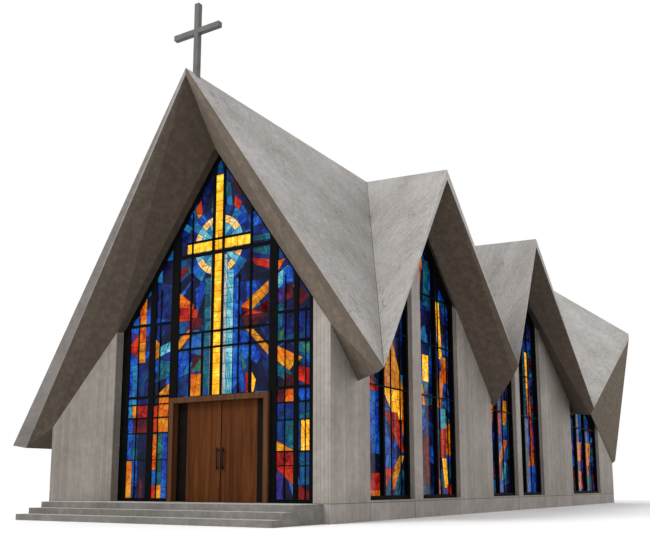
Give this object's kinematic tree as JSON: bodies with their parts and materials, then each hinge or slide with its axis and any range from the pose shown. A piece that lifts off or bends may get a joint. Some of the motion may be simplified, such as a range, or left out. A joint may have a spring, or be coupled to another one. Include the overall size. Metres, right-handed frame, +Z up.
{
  "type": "modern church building",
  "caption": "Concrete church with a steep folded roof, a tall stained glass front with a gold cross, a pair of timber doors and a cross on the ridge.",
  "frame": {"origin": "on the ground, under the main ridge and in the plane of the front glazing", "axes": "+Z up, +Y from the front towards the rear, +X to the right as seen from the front"},
  "size_m": [13.65, 34.5, 15.32],
  "materials": {
    "wall_concrete": "board-marked concrete",
    "roof_concrete": "weathered concrete, dark stained underneath",
    "base_concrete": "fair-faced concrete",
    "black_steel": "satin black",
    "coloured_glass": "leaded coloured glass",
    "door_timber": "oiled red-brown timber",
    "dark_panel": "satin black",
    "handle_steel": "black",
    "cross_steel": "matt grey"
  },
  "bodies": {
    "building": {"base_and_floor": "base_concrete", "door_portal": "door_timber", "door_side_panel_left": "dark_panel", "door_side_panel_right": "dark_panel", "entrance_landing": "base_concrete", "flank_glass_left": "coloured_glass", "flank_glass_right": "coloured_glass", "flank_wall_left": "wall_concrete", "flank_wall_right": "wall_concrete", "front_glass_centre": "coloured_glass", "front_glass_left": "coloured_glass", "front_glass_right": "coloured_glass", "front_wall_left": "wall_concrete", "front_wall_right": "wall_concrete", "front_window_frame": "black_steel", "lower_step": "base_concrete", "rear_wall": "wall_concrete", "ridge_cross": "cross_steel", "roof_fold_front_left": "roof_concrete", "roof_fold_front_right": "roof_concrete", "roof_fold_middle_left": "roof_concrete", "roof_fold_middle_right": "roof_concrete", "roof_fold_rear_left": "roof_concrete", "roof_fold_rear_right": "roof_concrete", "roof_front_plate_left": "roof_concrete", "roof_front_plate_right": "roof_concrete", "upper_step": "base_concrete", "window_frame_left_1": "black_steel", "window_frame_left_2": "black_steel", "window_frame_left_3": "black_steel", "window_frame_left_4": "black_steel", "window_frame_left_5": "black_steel", "window_frame_right_1": "black_steel", "window_frame_right_2": "black_steel", "window_frame_right_3": "black_steel", "window_frame_right_4": "black_steel", "window_frame_right_5": "black_steel"},
    "door_left": {"door_leaf_left": "door_timber", "door_handle_left": "handle_steel"},
    "door_right": {"door_leaf_right": "door_timber", "door_handle_right": "handle_steel"}
  },
  "joints": [
    {"name": "left_door_hinge", "type": "hinge", "parent": "building", "child": "door_left", "pos_m": [-1.155, 0.14, 0.518], "axis": [0, 0, -1], "range_deg": [0, 90]},
    {"name": "right_door_hinge", "type": "hinge", "parent": "building", "child": "door_right", "pos_m": [1.415, 0.14, 0.518], "axis": [0, 0, 1], "range_deg": [0, 90]}
  ]
}
